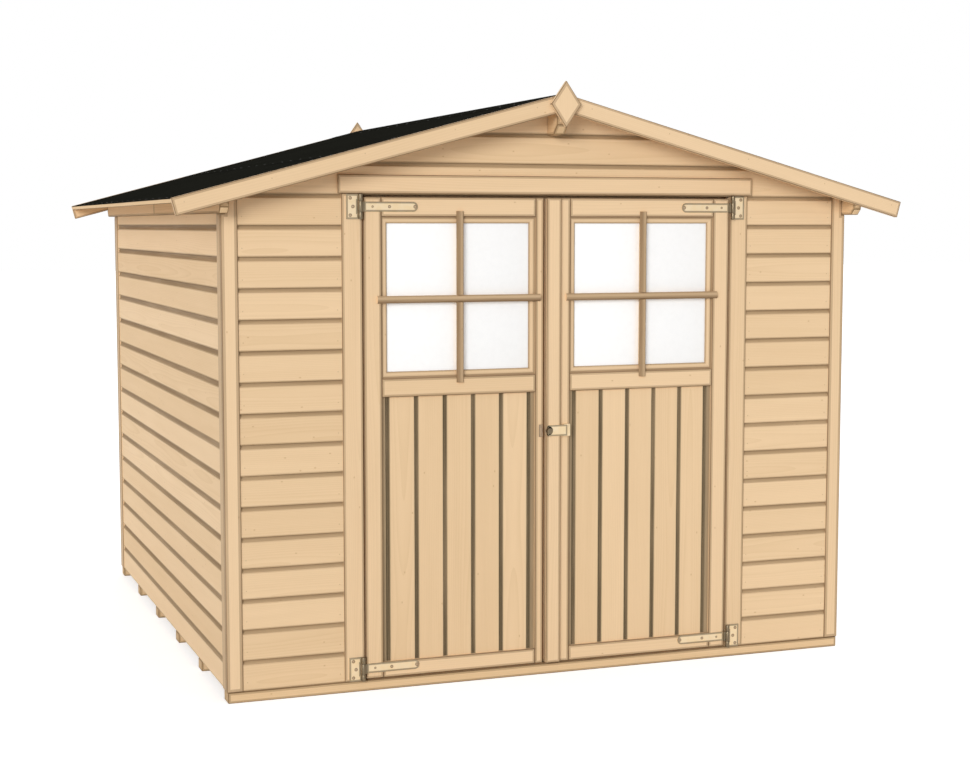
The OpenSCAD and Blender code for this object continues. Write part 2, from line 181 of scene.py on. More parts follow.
class Nodes:
    """A material's node tree with short calls to add and join nodes."""

    def __init__(self, name):
        self.material = bpy.data.materials.new(name)
        self.material.use_nodes = True
        self.tree = self.material.node_tree
        self.bsdf = self.tree.nodes["Principled BSDF"]

    def add(self, kind, **settings):
        node = self.tree.nodes.new(kind)
        for key, value in settings.items():
            setattr(node, key, value)
        return node

    def link(self, source, target):
        self.tree.links.new(source, target)

    def put(self, socket, value):
        """Joins an output to the socket, or sets the socket to a plain value."""
        if isinstance(value, bpy.types.NodeSocket):
            self.link(value, socket)
        else:
            socket.default_value = value

    def math(self, operation, a, b=0.0, clamp=False):
        node = self.add("ShaderNodeMath", operation=operation, use_clamp=clamp)
        self.put(node.inputs[0], a)
        self.put(node.inputs[1], b)
        return node.outputs[0]

    def attribute(self, name, output="Fac"):
        """The mesh attribute grain, tone or edge, as Piece writes it."""
        return self.add("ShaderNodeAttribute", attribute_name=name).outputs[output]

    def split(self, vector):
        node = self.add("ShaderNodeSeparateXYZ")
        self.link(vector, node.inputs[0])
        return node.outputs

    def join(self, x, y, z):
        node = self.add("ShaderNodeCombineXYZ")
        for socket, value in zip(node.inputs, (x, y, z)):
            self.put(socket, value)
        return node.outputs[0]

    def scaled(self, vector, x, y, z):
        node = self.add("ShaderNodeVectorMath", operation="MULTIPLY")
        self.link(vector, node.inputs[0])
        node.inputs[1].default_value = (x, y, z)
        return node.outputs[0]

    def noise(self, vector, scale=1.0, detail=2.0, roughness=0.5):
        node = self.add("ShaderNodeTexNoise")
        self.link(vector, node.inputs["Vector"])
        node.inputs["Scale"].default_value = scale
        node.inputs["Detail"].default_value = detail
        node.inputs["Roughness"].default_value = roughness
        return node.outputs["Fac"]

    def ramp(self, value, low, high, out_low=0.0, out_high=1.0):
        """Smooth step of value from low to high."""
        node = self.add("ShaderNodeMapRange", interpolation_type="SMOOTHSTEP")
        self.put(node.inputs["Value"], value)
        ends = (("From Min", low), ("From Max", high), ("To Min", out_low), ("To Max", out_high))
        for name, number in ends:
            node.inputs[name].default_value = number
        return node.outputs[0]

    def mix(self, factor, a, b):
        node = self.add("ShaderNodeMix", data_type="RGBA")
        self.put(node.inputs[0], factor)
        self.put(node.inputs[6], a)
        self.put(node.inputs[7], b)
        return node.outputs[2]

    def bump(self, height, strength, distance):
        node = self.add("ShaderNodeBump")
        self.link(height, node.inputs["Height"])
        node.inputs["Strength"].default_value = strength
        node.inputs["Distance"].default_value = distance
        self.link(node.outputs[0], self.bsdf.inputs["Normal"])


def wood(name, base, contrast, shade_colour, rough, grain_bump):
    """Softwood with its grain along the first grain axis: rings, streaks, fibres, a few knots, and
    painted shade in the edge colour.
    """
    n = Nodes(name)
    grain = n.attribute("grain", "Vector")
    u, v, w = n.split(grain)

    wander = n.noise(n.scaled(grain, 0.9, 5.0, 5.0), detail=1.0)
    radius = n.math("SQRT", n.math("ADD", n.math("MULTIPLY", v, v), n.math("MULTIPLY", w, w)))
    radius = n.math("ADD", radius, n.math("MULTIPLY", wander, 0.045))
    growth = n.math("FRACT", n.math("MULTIPLY", radius, 165.0))
    growth = n.math("POWER", growth, 2.2)
    streak = n.noise(n.scaled(grain, 1.6, 34.0, 34.0), detail=3.0, roughness=0.6)
    fibre = n.noise(n.scaled(grain, 14.0, 620.0, 620.0), detail=2.0)
    cloud = n.noise(n.scaled(grain, 2.2, 7.0, 7.0), detail=2.0)

    darkness = n.math("MULTIPLY", growth, 0.36)
    for part, weight in ((streak, 0.60), (fibre, 0.30), (cloud, 0.30), (n.attribute("tone"), 0.55)):
        darkness = n.math("ADD", darkness, n.math("MULTIPLY", part, weight))
    darkness = n.math("SUBTRACT", darkness, 0.28, clamp=True)
    pale = tuple(c * (1 + contrast * 0.55) for c in base) + (1,)
    deep = tuple(c * (1 - contrast * k) for c, k in zip(base, (0.75, 1.0, 1.45))) + (1,)
    colour = n.mix(darkness, pale, deep)

    across = n.math("ADD", v, w)
    cells = n.add("ShaderNodeTexVoronoi", voronoi_dimensions="2D")
    spot = n.join(n.math("MULTIPLY", u, 3.6), n.math("MULTIPLY", across, 6.0), 0.0)
    n.link(spot, cells.inputs["Vector"])
    near = cells.outputs["Distance"]
    chosen = n.math("GREATER_THAN", n.split(cells.outputs["Color"])[0], 0.955)
    knot = n.math("MULTIPLY", n.ramp(near, 0.045, 0.075, 1.0, 0.0), chosen)
    halo = n.math("MULTIPLY", n.ramp(near, 0.06, 0.17, 0.35, 0.0), chosen)
    knot_rings = n.math("FRACT", n.math("MULTIPLY", near, 85.0))
    heart = n.mix(knot_rings, tuple(c * k for c, k in zip(base, (0.60, 0.47, 0.36))) + (1,),
                  tuple(c * k for c, k in zip(base, (0.45, 0.32, 0.22))) + (1,))
    colour = n.mix(halo, colour, deep)
    colour = n.mix(n.math("MULTIPLY", knot, 0.42), colour, heart)

    # Painted shade: the edge attribute blends in the shade colour on arrises, coves, grooves and
    # shaded sides
    painted_shade = n.math("MULTIPLY", n.attribute("edge"), n.ramp(streak, 0.25, 0.6, 0.82, 1.0))
    colour = n.mix(painted_shade, colour, shade_colour + (1,))
    n.link(colour, n.bsdf.inputs["Base Color"])

    n.link(n.ramp(darkness, 0.0, 1.0, rough - 0.07, rough + 0.07), n.bsdf.inputs["Roughness"])
    n.bsdf.inputs["Specular IOR Level"].default_value = 0.10
    height = n.math("ADD", n.math("MULTIPLY", fibre, 0.7), n.math("MULTIPLY", growth, 0.35))
    height = n.math("SUBTRACT", height, n.math("MULTIPLY", knot, 0.5))
    n.bump(height, grain_bump, 0.6 * MM)
    return n.material


def felt():
    """Bitumen felt with fine black mineral grain pressed into it."""
    n = Nodes("roof_felt_mineral")
    place = n.add("ShaderNodeTexCoord").outputs["Object"]
    grit = n.add("ShaderNodeTexVoronoi")
    n.link(place, grit.inputs["Vector"])
    grit.inputs["Scale"].default_value = 520.0
    fleck = n.split(grit.outputs["Color"])[0]
    stain = n.noise(place, scale=3.2, detail=3.0)
    speck = n.ramp(fleck, 0.80, 1.0)
    colour = n.mix(stain, (0.0100, 0.0100, 0.0078, 1), (0.0155, 0.0155, 0.0120, 1))
    colour = n.mix(n.math("MULTIPLY", speck, 0.20), colour, (0.070, 0.070, 0.064, 1))
    colour = n.mix(n.attribute("edge"), colour, (0.012, 0.011, 0.010, 1))
    n.link(colour, n.bsdf.inputs["Base Color"])
    n.link(n.ramp(fleck, 0.0, 1.0, 0.90, 1.0), n.bsdf.inputs["Roughness"])
    n.bsdf.inputs["Specular IOR Level"].default_value = 0.0
    height = n.math("ADD", grit.outputs["Distance"], n.math("MULTIPLY", stain, 2.0))
    n.bump(height, 0.5, 0.8 * MM)
    return n.material


def metal(name, base, rough):
    """Passivated zinc plate: slightly uneven colour, fine rolling marks and painted shade along the
    edges.
    """
    n = Nodes(name)
    place = n.add("ShaderNodeTexCoord").outputs["Object"]
    tint = n.noise(place, scale=38.0, detail=3.0)
    marks = n.noise(n.scaled(place, 40.0, 900.0, 900.0), detail=2.0)
    warm = tuple(c * k for c, k in zip(base, (1.00, 0.98, 0.93))) + (1,)
    pale = tuple(c * k for c, k in zip(base, (1.01, 1.03, 1.06))) + (1,)
    colour = n.mix(n.ramp(tint, 0.35, 0.65), warm, pale)
    # Painted shade on arrises and hinge knuckles; the same mix gives the fastener's knob its own
    # dark colour
    colour = n.mix(n.attribute("edge"), colour, tuple(c * 0.16 for c in base) + (1,))
    n.link(colour, n.bsdf.inputs["Base Color"])
    n.bsdf.inputs["Metallic"].default_value = 1.0
    n.link(n.ramp(marks, 0.2, 0.8, rough - 0.06, rough + 0.10), n.bsdf.inputs["Roughness"])
    n.bump(marks, 0.12, 0.2 * MM)
    return n.material


def opal_pane():
    """Opal white styrene: bright, smooth, with a faint waviness."""
    n = Nodes("opal_glazing")
    place = n.add("ShaderNodeTexCoord").outputs["Object"]
    wave = n.noise(n.scaled(place, 6.0, 6.0, 9.0), detail=1.0)
    dust = n.noise(place, scale=55.0, detail=4.0, roughness=0.65)
    colour = n.mix(n.ramp(dust, 0.35, 0.75), (0.985, 0.985, 0.980, 1), (0.965, 0.965, 0.960, 1))
    n.link(colour, n.bsdf.inputs["Base Color"])
    n.link(n.ramp(dust, 0.3, 0.8, 0.10, 0.24), n.bsdf.inputs["Roughness"])
    n.bsdf.inputs["Coat Weight"].default_value = 0.3
    n.bsdf.inputs["Coat Roughness"].default_value = 0.06
    n.bump(wave, 0.08, 1.0 * MM)
    return n.material


PINE = (0.800, 0.584, 0.361)
PLANED_PINE = (0.808, 0.590, 0.368)
SAWN_PINE = (0.800, 0.578, 0.350)
# Browns of the painted shade on arrises, coves, grooves and shaded sides
SHADE_BROWN = (0.230, 0.143, 0.068)
SOFT_SHADE_BROWN = (0.270, 0.172, 0.092)
DEEP_SHADE_BROWN = (0.135, 0.100, 0.056)
CLADDING = wood("cladding_pine", PINE, 0.11, SHADE_BROWN, 0.62, 0.35)
TRIM = wood("planed_pine", PLANED_PINE, 0.10, SOFT_SHADE_BROWN, 0.58, 0.30)
FRAMING = wood("sawn_pine", SAWN_PINE, 0.15, SHADE_BROWN, 0.72, 0.60)
PANEL = wood("panel_pine", PINE, 0.11, DEEP_SHADE_BROWN, 0.62, 0.35)
ROOF_FELT = felt()
OPAL = opal_pane()
ZINC = metal("yellow_zinc", (0.76, 0.60, 0.39), 0.38)
BRONZE = metal("brown_zinc", (0.40, 0.29, 0.19), 0.42)
NAIL = metal("nail_steel", (0.62, 0.45, 0.28), 0.50)
BLACK_NAIL = metal("clout_nail_steel", (0.035, 0.035, 0.032), 0.60)


# ---------------------------------------------------------------- meshes

class Piece:
    """Collects the solids of one visible piece, with the attributes that its material reads."""

    def __init__(self, name):
        self.name = name
        self.points = []
        self.faces = []
        self.grain = []
        self.tone = []
        self.edge = []

    def add(self, bm, along, seed=None, centre=None):
        """Adds a solid whose grain runs along a unit vector.

        A seed and a centre repeat the same piece of wood, with its grain measured from that point.
        """
        draw = random.Random(seed) if seed is not None else rng
        side = AXIS_Z if abs(along.z) < 0.9 else AXIS_X
        second = along.cross(side).normalized()
        third = along.cross(second).normalized()
        if centre is None:
            centre = centre_of(bm)
        angle = draw.uniform(0, 2 * math.pi)
        pith = draw.uniform(35, 110) * MM
        shift = Vector((draw.uniform(0, 40), pith * math.cos(angle), pith * math.sin(angle)))
        tone = draw.uniform(-0.5, 0.5)
        edges = bm.faces.layers.float.get("edge")
        first = len(self.points)
        bm.verts.index_update()
        for v in bm.verts:
            p = v.co - centre
            self.points.append(tuple(v.co))
            self.grain.append(tuple(Vector((p.dot(along), p.dot(second), p.dot(third))) + shift))
            self.tone.append(tone)
        for f in bm.faces:
            self.faces.append([first + v.index for v in f.verts])
            self.edge.append(f[edges] if edges else 0.0)
        bm.free()

    def finish(self, body, slot, material, *nodes):
        """Makes the Blender object, rides it on its body and hides the CAD nodes it stands for."""
        mesh = bpy.data.meshes.new(self.name)
        mesh.from_pydata(self.points, [], self.faces)
        mesh.attributes.new("grain", "FLOAT_VECTOR", "POINT").data.foreach_set(
            "vector", [c for g in self.grain for c in g])
        mesh.attributes.new("tone", "FLOAT", "POINT").data.foreach_set("value", self.tone)
        mesh.attributes.new("edge", "FLOAT", "FACE").data.foreach_set("value", self.edge)
        mesh.materials.append(material)
        mesh.polygons.foreach_set("use_smooth", [True] * len(mesh.polygons))
        mesh.set_sharp_from_angle(angle=SHARP)
        mesh.update()
        piece = bpy.data.objects.new(self.name, mesh)
        bpy.context.scene.collection.objects.link(piece)
        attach(piece, body)
        if nodes:
            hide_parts(*nodes)


def centre_of(bm):
    """The mean of the solid's points."""
    return sum((v.co for v in bm.verts), Vector()) / len(bm.verts)


def edge_layer(bm):
    """The faces' edge values, the strength of their painted shade, made when the solid has none
    yet.
    """
    return bm.faces.layers.float.get("edge") or bm.faces.layers.float.new("edge")


def clean(bm):
    """Joins points that coincide and triangles that lie in one plane."""
    bmesh.ops.remove_doubles(bm, verts=bm.verts, dist=0.002 * MM)
    bmesh.ops.dissolve_limit(bm, angle_limit=FLAT, verts=bm.verts, edges=bm.edges)


def solids(node):
    """The separate solids of a CAD node, each as its own bmesh with joined flat faces."""
    whole = bmesh.new()
    whole.from_mesh(frame["nodes"][node].data)
    clean(whole)
    whole.verts.ensure_lookup_table()
    left = set(range(len(whole.verts)))
    found = []
    while left:
        heap = [left.pop()]
        island = set(heap)
        while heap:
            for e in whole.verts[heap.pop()].link_edges:
                for v in e.verts:
                    if v.index not in island:
                        island.add(v.index)
                        left.discard(v.index)
                        heap.append(v.index)
        part = whole.copy()
        part.verts.ensure_lookup_table()
        others = [v for v in part.verts if v.index not in island]
        bmesh.ops.delete(part, geom=others, context="VERTS")
        found.append(part)
    whole.free()
    found.sort(key=lambda b: tuple(round(c, 4) for c in centre_of(b)))
    return found


def longest_edge(bm):
    """The direction of the solid's longest edge, which the grain follows."""
    edge = max(bm.edges, key=lambda e: e.calc_length())
    return (edge.verts[1].co - edge.verts[0].co).normalized()


def bevel(bm, width, value=EDGE_TONE, band=0.0, fade=BAND_TONE):
    """Rounds every sharp edge, paints shade on the new faces as an outline and fades it out over a
    band.
    """
    layer = edge_layer(bm)
    sharp = [e for e in bm.edges if len(e.link_faces) == 2 and e.calc_face_angle(0) > SHARP]
    made = bmesh.ops.bevel(bm, geom=sharp, offset=width, offset_type="OFFSET", segments=2,
                           profile=0.5, affect="EDGES", clamp_overlap=True)
    round_faces = set(made["faces"])
    # Painted shade on the rounded faces, weaker on the band beside them
    for f in round_faces:
        f[layer] = value
    if band:
        wide = [f for f in bm.faces
                if f not in round_faces and 2 * f.calc_area() / f.calc_perimeter() > 2.6 * band]
        made = bmesh.ops.inset_individual(bm, faces=wide, thickness=band, use_even_offset=True)
        for f in made["faces"]:
            f[layer] = value * fade


def faces_sideways(face):
    """Whether a face looks out to the left or the right, where timbers get painted shade."""
    return abs(face.normal.x) > 0.9


def shade(bm, value, chosen):
    """Paints shade on the chosen flat faces: an even tone of the edge colour, as a floor under
    their own.
    """
    layer = edge_layer(bm)
    for f in bm.faces:
        if chosen(f):
            f[layer] = max(f[layer], value)


def timber(name, node, slot, material, body="shed", band=BAND, along=None, dark=None, tone=SHADED,
           split=False):
    """The CAD node's solids as planed or sawn timber with eased edges.

    dark picks the faces that are shaded all over, and tone says how much; split makes two lengths
    that meet at the middle.
    """
    piece = Piece(name)
    for whole in solids(node):
        direction = along or longest_edge(whole)
        parts = [whole]
        if split:
            parts = [cut(whole.copy(), AXIS_Y * (side * GAP), AXIS_Y * -side) for side in (-1, 1)]
            whole.free()
        for bm in parts:
            bevel(bm, ARRIS, band=band)
            if dark:
                shade(bm, tone, dark)
            piece.add(bm, direction)
    piece.finish(body, slot, material, node)


def block(low, high):
    """A block between two corners, with fine arrises."""
    bm = bmesh.new()
    made = bmesh.ops.create_cube(bm, size=1.0)
    size = Vector(high) - Vector(low)
    middle = (Vector(high) + Vector(low)) / 2
    for v in made["verts"]:
        v.co = Vector(a * b for a, b in zip(v.co, size)) + middle
    bevel(bm, FINE_ARRIS)
    return bm


def loft(rings, value, last=0.0):
    """A closed solid through rings of as many points each.

    value(step, side) is the edge value of a face between two rings, and last that of the end face.
    """
    bm = bmesh.new()
    layer = edge_layer(bm)
    rows = [[bm.verts.new(point) for point in points] for points in rings]
    count = len(rows[0])
    for step in range(len(rows) - 1):
        near, far = rows[step], rows[step + 1]
        for side in range(count):
            after = (side + 1) % count
            face = bm.faces.new((near[side], near[after], far[after], far[side]))
            face[layer] = value(step, side)
    bm.faces.new(list(reversed(rows[0])))
    bm.faces.new(rows[-1])[layer] = last
    bmesh.ops.recalc_face_normals(bm, faces=bm.faces)
    return bm


def run(profile, marks, origin, along, across, inward, length):
    """Carries a closed outline along a line.

    The outline's points are (depth, height) pairs; marks[i] is the edge value of the side from
    point i to the next one.
    """
    ends = [[origin + along * end + across * h + inward * d for d, h in profile]
            for end in (0.0, length)]
    return loft(ends, lambda step, side: marks[side])


def cut(bm, point, outward):
    """Cuts away what lies beyond a plane and closes the solid again."""
    geometry = list(bm.verts) + list(bm.edges) + list(bm.faces)
    made = bmesh.ops.bisect_plane(bm, geom=geometry, plane_co=point, plane_no=outward,
                                  clear_outer=True, dist=0.001 * MM)
    rim = [g for g in made["geom_cut"] if isinstance(g, bmesh.types.BMEdge)]
    if rim:
        bmesh.ops.holes_fill(bm, edges=[e for e in rim if e.is_boundary], sides=0)
    return bm


def lap_profile(pitch, thick, cove_h, tones):
    """Outline of one shiplap board: flat face, cove and tongue at the top, rebate at the foot, with
    painted shade in the cove and along the lip.
    """
    half = thick / 2
    back = thick - GAP
    top = pitch - TOP_GAP
    deepest = tones[-1]
    points = [(LIP, 0.0), (0.0, LIP), (0.0, LIP + 0.6 * BAND), (0.0, top - cove_h - 0.6 * BAND)]
    # Painted shade: the lip and the strip above it, the cove darker towards its deep, and the
    # tongue
    marks = [deepest, deepest * 0.5, 0.0, tones[0] * 0.6]
    for step in range(len(tones) + 1):
        angle = step / len(tones) * math.pi / 2
        points.append((half * math.sin(angle), top - cove_h * math.cos(angle)))
    marks += tones
    points += [(half, pitch + TONGUE_H), (back, pitch + TONGUE_H), (back, TONGUE_H + MM),
               (half + GAP, TONGUE_H + MM), (half + GAP, 0.0)]
    marks += [deepest, 0.0, 0.0, 0.0, 0.0, deepest]
    return points, marks


def clad(piece, origin, along, inward, spans, rows, planes=(), first=0, cover=PITCH, cove_h=COVE_H,
         tones=COVE_SHADES):
    """Courses of shiplap, each made of one or more lengths cut from the same board.

    spans are the lengths' ends along the wall, and planes (point, outward) pairs that trim them.
    """
    profile, marks = lap_profile(cover, CLAD_T, cove_h, tones)
    for row in range(first, first + rows):
        seed = rng.random()
        for s0, s1 in spans:
            start = origin + along * s0 + AXIS_Z * (PITCH * row)
            bm = run(profile, marks, start, along, AXIS_Z, inward, s1 - s0)
            for point, outward in planes:
                cut(bm, point, outward)
            if bm.verts:
                middle = origin + AXIS_Z * (PITCH * (row + 0.5))
                piece.add(bm, along, seed=seed, centre=middle)
            else:
                bm.free()


# ---------------------------------------------------------------- walls

def foot_of(wall, front):
    """A point at the foot of a wall's outer face, at x 0."""
    return Vector((0, wall[0].y if front else wall[1].y, WALL_Z))


def wall_cladding():
    """Shiplap on the four walls up to the eaves."""
    front = foot_of(FRONT_LEFT, True)
    back = foot_of(BACK_WALL, False)
    for name, box, node in (("cladding_front_left", FRONT_LEFT, "front_wall_left"),
                            ("cladding_front_right", FRONT_RIGHT, "front_wall_right")):
        piece = Piece(name)
        clad(piece, front, AXIS_X, AXIS_Y, [(box[0].x, box[1].x)], WALL_BOARDS)
        piece.finish("shed", "cladding", CLADDING, node)
    piece = Piece("cladding_back")
    clad(piece, back, AXIS_X, -AXIS_Y, [(BACK_WALL[0].x, BACK_WALL[1].x)], WALL_BOARDS)
    piece.finish("shed", "cladding", CLADDING, "back_wall")
    for name, box, outer, inward, node in (
            ("cladding_left", LEFT_WALL, LEFT_WALL[0].x, AXIS_X, "left_wall"),
            ("cladding_right", RIGHT_WALL, RIGHT_WALL[1].x, -AXIS_X, "right_wall")):
        piece = Piece(name)
        top = Vector((0, 0, box[1].z))
        rows = math.ceil((box[1].z - WALL_Z) / PITCH)
        clad(piece, Vector((outer, 0, WALL_Z)), AXIS_Y, inward, [(box[0].y, box[1].y)], rows,
             planes=[(top, AXIS_Z)], cove_h=SIDE_COVE_H, tones=SIDE_COVE_SHADES)
        piece.finish("shed", "cladding", CLADDING, node)


def slope_axes(side):
    """Unit vectors down the roof slope on one side and up out of it."""
    down = Vector((side * math.cos(ROOF_SLOPE), 0, -math.sin(ROOF_SLOPE)))
    out = Vector((side * math.sin(ROOF_SLOPE), 0, math.cos(ROOF_SLOPE)))
    return down, out


def gable_cladding():
    """Shiplap over the walls, cut under the roof and, at its height, around the ridge purlin."""
    seat = Vector((0, 0, RIDGE_Z - (FELT_T + DECK_T) / math.cos(ROOF_SLOPE) - ROOF_GAP))
    slopes = [(seat, slope_axes(side)[1]) for side in (1, -1)]
    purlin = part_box("ridge_purlin")
    gap = purlin[1].x + MM
    for name, node, front in (("cladding_front_gable", "front_gable", True),
                              ("cladding_back_gable", "back_gable", False)):
        low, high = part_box(node)
        reach = high.x
        origin = foot_of((low, high), front)
        inward = AXIS_Y if front else -AXIS_Y
        rows = math.ceil((high.z - WALL_Z) / PITCH) - WALL_BOARDS
        below = math.floor((purlin[0].z - WALL_Z) / PITCH + 0.01) - WALL_BOARDS
        piece = Piece(name)
        clad(piece, origin, AXIS_X, inward, [(-reach, reach)], 1, planes=slopes, first=WALL_BOARDS,
             cover=PITCH + GABLE_LIFT)
        origin = origin + AXIS_Z * GABLE_LIFT
        whole, halves = [(-reach, reach)], [(-reach, -gap), (gap, reach)]
        clad(piece, origin, AXIS_X, inward, whole, below - 1, planes=slopes, first=WALL_BOARDS + 1)
        clad(piece, origin, AXIS_X, inward, halves, rows - below, planes=slopes,
             first=WALL_BOARDS + below)
        piece.finish("shed", "cladding", CLADDING, node)


# ---------------------------------------------------------------- floor and roof boards

def floor_boards():
    """Boards from front to back, with a small V at each joint on both faces."""
    low, high = FLOOR
    thick, v = high.z - low.z, FLOOR_V
    count = round((high.x - low.x) / FLOOR_BOARD_W)
    cover = (high.x - low.x) / count
    origin = Vector((low.x, low.y, high.z))
    # Painted shade in the V at each joint
    marks = [0.0, 0.8] * 4
    piece = Piece("floor_boards")
    for i in range(count):
        h0, h1 = i * cover + BOARD_GAP, (i + 1) * cover - BOARD_GAP
        profile = [(0.0, h0 + v), (0.0, h1 - v), (v, h1), (thick - v, h1),
                   (thick, h1 - v), (thick, h0 + v), (thick - v, h0), (v, h0)]
        piece.add(run(profile, marks, origin, AXIS_Y, AXIS_X, -AXIS_Z, high.y - low.y), AXIS_Y)
    piece.finish("shed", "framing_timber", FRAMING, "floor_deck")


def roof_boards(side, name, node):
    """Boards along the roof, cut plumb where the two slopes meet."""
    down, out = slope_axes(side)
    piece = Piece(name)
    count = round(SLOPE_LENGTH / PITCH)
    cover = SLOPE_LENGTH / count
    v = DECK_V
    start = RIDGE - out * FELT_T + AXIS_Y * DECK[0].y
    # Painted shade in the V joints on the underside, lighter on the small top chamfers
    marks = [0.0, 0.6, 0.0, 1.0, 0.0, 1.0, 0.0, 0.6]
    for i in range(count):
        s0 = i * cover + (BOARD_GAP if i else -DECK_T)
        s1 = (i + 1) * cover - (BOARD_GAP if i < count - 1 else 0.0)
        profile = [(0.0, s0 + MM), (0.0, s1 - MM), (MM, s1), (DECK_T - v, s1), (DECK_T, s1 - v),
                   (DECK_T, s0 + v), (DECK_T - v, s0), (MM, s0)]
        bm = run(profile, marks, start, AXIS_Y, down, -out, DECK[1].y - DECK[0].y)
        if i == 0:
            cut(bm, Vector(), AXIS_X * -side)
        piece.add(bm, AXIS_Y)
    piece.finish("shed", "framing_timber", FRAMING, node)


def felt_course(piece, side, s0, s1, n0, n1, wave, seed):
    """One course of felt between two distances down the slope, from n0 to n1 above the boards.

    Its top lies in soft waves that the seed places.
    """
    down, out = slope_axes(side)
    y0, y1 = FELT[0].y, FELT[1].y
    draw = random.Random(seed)
    phases = [draw.uniform(0, 6.28) for _ in range(4)]
    across, along = round((s1 - s0) / FELT_STEP_DOWN), round((y1 - y0) / FELT_STEP_ALONG)
    bm = bmesh.new()
    layer = edge_layer(bm)
    base = RIDGE - out * FELT_T
    sheets = []
    for top in (True, False):
        sheet = []
        for i in range(across + 1):
            s = s0 + (s1 - s0) * i / across
            line = []
            for j in range(along + 1):
                y = y0 + (y1 - y0) * j / along
                broad = math.sin(3.1 * y + phases[0]) * math.sin(5.0 * s + phases[1])
                small = math.sin(9.0 * y + phases[2]) * math.sin(11.0 * s + phases[3])
                n = n1 + wave * (broad + 0.5 * small) if top else n0
                line.append(bm.verts.new(base + down * s + out * n + AXIS_Y * y))
            sheet.append(line)
        sheets.append(sheet)
    upper, lower = sheets
    for i in range(across):
        for j in range(along):
            bm.faces.new((upper[i][j], upper[i + 1][j], upper[i + 1][j + 1], upper[i][j + 1]))
            bm.faces.new((lower[i][j], lower[i][j + 1], lower[i + 1][j + 1], lower[i + 1][j]))
    rim = ([(0, j) for j in range(along)] + [(i, along) for i in range(across)]
           + [(across, j) for j in range(along, 0, -1)] + [(i, 0) for i in range(across, 0, -1)])
    for k, (i, j) in enumerate(rim):
        a, b = rim[(k + 1) % len(rim)]
        face = bm.faces.new((upper[i][j], upper[a][b], lower[a][b], lower[i][j]))
        face[layer] = 1.0
    bmesh.ops.recalc_face_normals(bm, faces=bm.faces)
    piece.add(bm, AXIS_Y)


def roof_felt(side, name, node):
    """Two overlapping courses of felt, laid from the eaves up, on one slope."""
    piece = Piece(name)
    felt_course(piece, side, FELT_LAP - FELT_OVERLAP, SLOPE_LENGTH, 0.0, LOW_FELT_T,
                wave=0.25 * MM, seed=3 + side)
    felt_course(piece, side, 0.0, FELT_LAP, LOW_FELT_T + 0.1 * MM, TOP_FELT,
                wave=0.15 * MM, seed=9 + side)
    piece.finish("shed", "roof_felt", ROOF_FELT, node)


def ridge_cap():
    """The strip of felt folded over the ridge."""
    reach = CAP_W * math.cos(ROOF_SLOPE)
    fall = CAP_W * math.sin(ROOF_SLOPE)
    profile = [(CAP_T, 0.0), (CAP_T - fall, reach), (-fall, reach), (0.0, 0.0), (-fall, -reach),
               (CAP_T - fall, -reach)]
    marks = [0.0, 1.0, 0.0, 0.0, 1.0, 0.0]
    start = Vector((0, FELT[0].y, RIDGE_Z + CAP_LIFT))
    piece = Piece("ridge_felt")
    piece.add(run(profile, marks, start, AXIS_Y, AXIS_X, AXIS_Z, FELT[1].y - FELT[0].y), AXIS_Y)
    piece.finish("shed", "roof_felt", ROOF_FELT)


# ---------------------------------------------------------------- doors

def bead_side(piece, corner, along, inward, into, length, depth):
    """One mitred side of a glazing bead. Its outline steps from the frame down to the pane."""
    shelf = BEAD_W * 0.30
    fall = depth * 0.80
    outline = [(0.0, 0.0), (shelf, 0.0)]
    for step in range(1, 6):
        angle = step / 6 * math.pi / 2
        outline.append((shelf + (BEAD_W - shelf) * math.sin(angle), fall * (1 - math.cos(angle))))
    outline += [(BEAD_W, fall), (BEAD_W, depth), (0.0, depth)]
    # Painted shade: dark along the frame, light on the slope, dark again towards the pane
    marks = [0.80, 0.25, 0.08, 0.12, 0.42, 0.70, 0.75, 0.75, 0.0, 0.0]
    ends = [[corner + along * w + inward * w + into * d for w, d in outline],
            [corner + along * (length - w) + inward * w + into * d for w, d in outline]]
    piece.add(loft(ends, lambda step, side: marks[side]), along)


def glazing_beads(side, opening, bead, pane):
    """Mitred beads on both sides of the pane."""
    (x0, z0), (x1, z1) = opening
    name = "left" if side < 0 else "right"
    piece = Piece(f"{name}_door_glazing_beads")
    for y, stop, into in ((bead[0].y, pane[0].y, AXIS_Y), (bead[1].y, pane[1].y, -AXIS_Y)):
        for x, z, along, inward, length in (
                (x0, z0, AXIS_X, AXIS_Z, x1 - x0), (x1, z0, AXIS_Z, -AXIS_X, z1 - z0),
                (x1, z1, -AXIS_X, -AXIS_Z, x1 - x0), (x0, z1, -AXIS_Z, AXIS_X, z1 - z0)):
            bead_side(piece, Vector((x, y, z)), along, inward, into, length, abs(stop - y))
    piece.finish(f"{name}_door", "trim_timber", TRIM, f"{name}_door_beads")


def bar(piece, middle, along, across, reach):
    """A length of glazing bar with a rounded face, standing out from its middle's plane."""
    half = BAR_W / 2
    shoulder = 0.3 * BAR_PROUD
    outline = [(0.0, -half), (-shoulder, -half)]
    for step in range(1, 6):
        angle = math.pi * (0.16 + 0.68 * step / 6)
        outline.append((-BAR_PROUD * (0.35 + 0.65 * math.sin(angle)), -half * math.cos(angle)))
    outline += [(-shoulder, half), (0.0, half)]
    # Painted shade: the bar's left or lower flank darkest, easing off over the rounded face
    marks = [EDGE_TONE, 1.0, 0.95, 0.80, 0.55, 0.50, 0.70, EDGE_TONE, 0.0]
    start = middle - along * (reach / 2)
    piece.add(run(outline, marks, start, along, across, AXIS_Y, reach), along)


